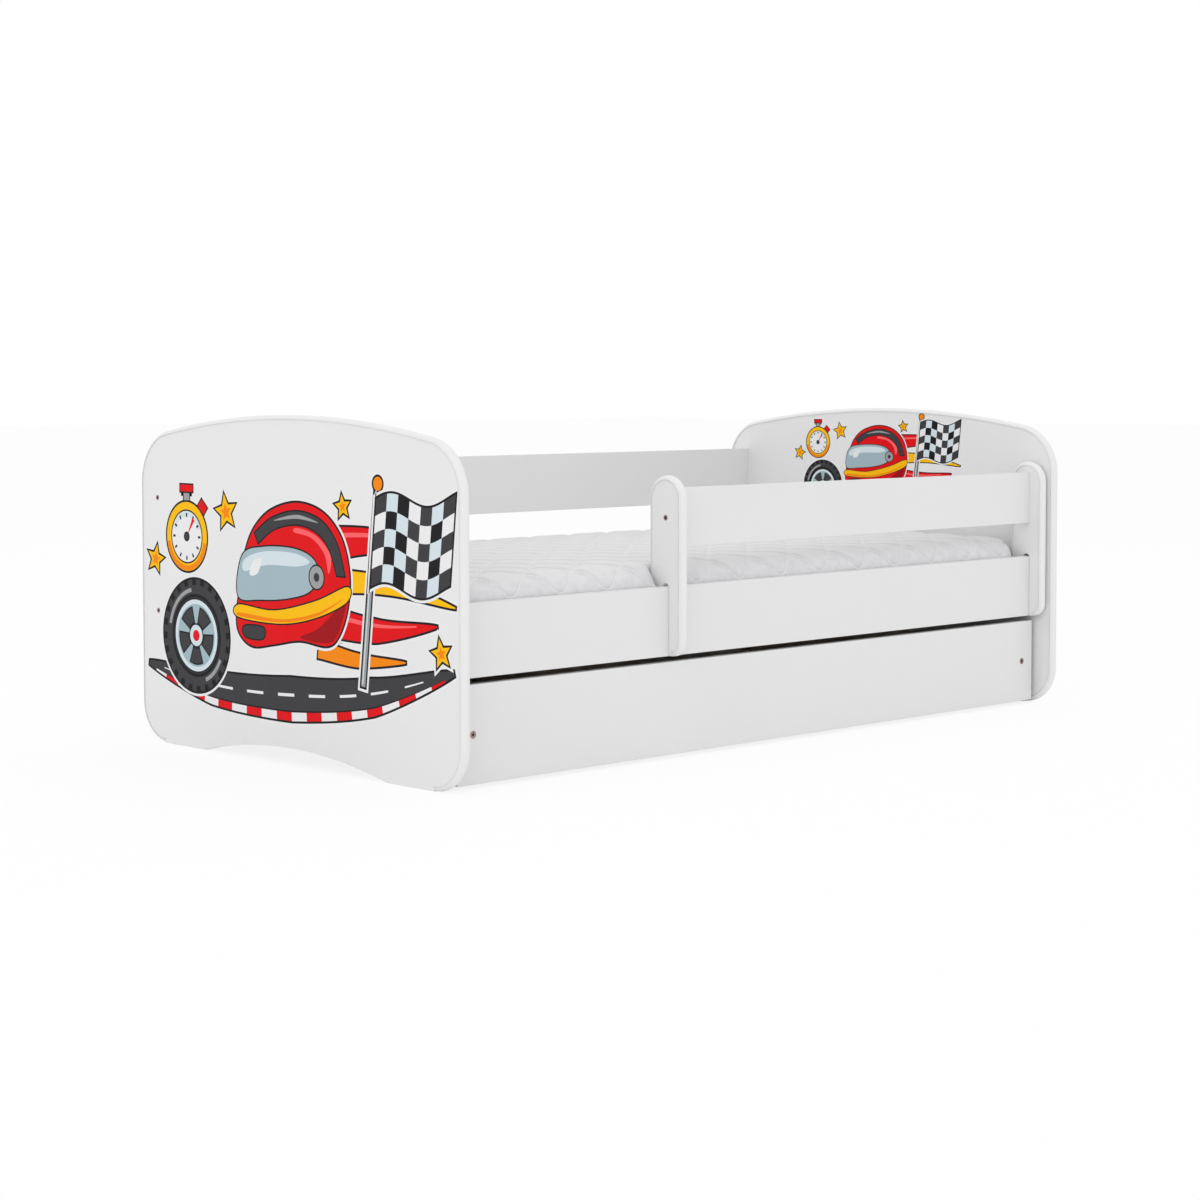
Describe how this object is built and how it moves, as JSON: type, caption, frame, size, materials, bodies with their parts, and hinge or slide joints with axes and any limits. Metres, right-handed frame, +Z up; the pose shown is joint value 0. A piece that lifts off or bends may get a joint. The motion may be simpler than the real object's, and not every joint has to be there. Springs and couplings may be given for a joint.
{
  "type": "child's single bed with guard and drawer",
  "caption": "White child's single bed with arched end boards, a lift-off slotted guard, a rolling underbed drawer on castors and a quilted mattress on a slatted base.",
  "frame": {"origin": "on the floor under the middle of the bed", "axes": "+X along the bed from footboard to headboard, -Y to the open front with guard and drawer, +Z up"},
  "size_m": [1.65, 0.933, 0.62],
  "materials": {
    "white_board": "white satin laminate on chipboard",
    "edging_plastic": "white satin soft plastic",
    "beech": "plain sanded wood",
    "pine": "plain sanded wood",
    "raw_fibreboard": "plain pressed wood fibre, uncoated",
    "webbing": "woven tape",
    "screw_steel": "zinc-plated steel with a warm tint",
    "axle_steel": "bright steel",
    "wheel_plastic": "black hard plastic",
    "housing_plastic": "dark grey hard plastic",
    "quilted_cover": "white quilted cotton cover"
  },
  "bodies": {
    "bed_frame": {"back_rail": "white_board", "back_side_board": "white_board", "back_slat_ledger": "pine", "footboard_edging": "edging_plastic", "footboard_panel": "white_board", "front_side_board": "white_board", "front_slat_ledger": "pine", "headboard_edging": "edging_plastic", "headboard_panel": "white_board", "ledger_screws": "screw_steel", "panel_dowels": "beech", "panel_screws": "screw_steel", "slat_01": "beech", "slat_02": "beech", "slat_03": "beech", "slat_04": "beech", "slat_05": "beech", "slat_06": "beech", "slat_07": "beech", "slat_08": "beech", "slat_09": "beech", "slat_10": "beech", "slat_11": "beech", "slat_12": "beech", "slat_screws": "screw_steel", "slat_straps": "webbing"},
    "guard": {"guard_board": "white_board", "guard_dowels": "beech", "guard_edging_left": "edging_plastic", "guard_edging_right": "edging_plastic", "guard_screws": "screw_steel", "guard_upright_left": "white_board", "guard_upright_right": "white_board"},
    "drawer": {"castor_axles": "axle_steel", "castor_housing_back_left": "housing_plastic", "castor_housing_back_right": "housing_plastic", "castor_housing_front_left": "housing_plastic", "castor_housing_front_right": "housing_plastic", "castor_screws": "screw_steel", "drawer_back": "white_board", "drawer_back_screws": "screw_steel", "drawer_bottom": "raw_fibreboard", "drawer_bottom_screws": "screw_steel", "drawer_divider": "white_board", "drawer_front": "white_board", "drawer_front_dowels": "beech", "drawer_front_screws": "screw_steel", "drawer_side_left": "white_board", "drawer_side_right": "white_board"},
    "mattress": {"mattress": "quilted_cover"},
    "wheel_front_left": {"castor_wheel_front_left": "wheel_plastic"},
    "wheel_front_right": {"castor_wheel_front_right": "wheel_plastic"},
    "wheel_back_left": {"castor_wheel_back_left": "wheel_plastic"},
    "wheel_back_right": {"castor_wheel_back_right": "wheel_plastic"}
  },
  "joints": [
    {"name": "drawer_slide", "type": "slide", "parent": "bed_frame", "child": "drawer", "axis": [0, -1, 0], "range_m": [0, 0.65]},
    {"name": "guard_lift", "type": "slide", "parent": "bed_frame", "child": "guard", "axis": [0, 0, 1], "range_m": [0, 0.15]},
    {"name": "mattress_lift", "type": "slide", "parent": "bed_frame", "child": "mattress", "axis": [0, 0, 1], "range_m": [0, 0.2]},
    {"name": "wheel_spin_front_left", "type": "hinge", "parent": "drawer", "child": "wheel_front_left", "pos_m": [-0.7105, -0.333, 0.018], "axis": [1, 0, 0], "continuous": true},
    {"name": "wheel_spin_front_right", "type": "hinge", "parent": "drawer", "child": "wheel_front_right", "pos_m": [0.7105, -0.333, 0.018], "axis": [1, 0, 0], "continuous": true},
    {"name": "wheel_spin_back_left", "type": "hinge", "parent": "drawer", "child": "wheel_back_left", "pos_m": [-0.7105, 0.267, 0.018], "axis": [1, 0, 0], "continuous": true},
    {"name": "wheel_spin_back_right", "type": "hinge", "parent": "drawer", "child": "wheel_back_right", "pos_m": [0.7105, 0.267, 0.018], "axis": [1, 0, 0], "continuous": true}
  ],
  "couplings": [
    {"joint": "wheel_spin_front_left", "follows": "drawer_slide", "rad_per_m": 55.556},
    {"joint": "wheel_spin_front_right", "follows": "drawer_slide", "rad_per_m": 55.556},
    {"joint": "wheel_spin_back_left", "follows": "drawer_slide", "rad_per_m": 55.556},
    {"joint": "wheel_spin_back_right", "follows": "drawer_slide", "rad_per_m": 55.556}
  ]
}
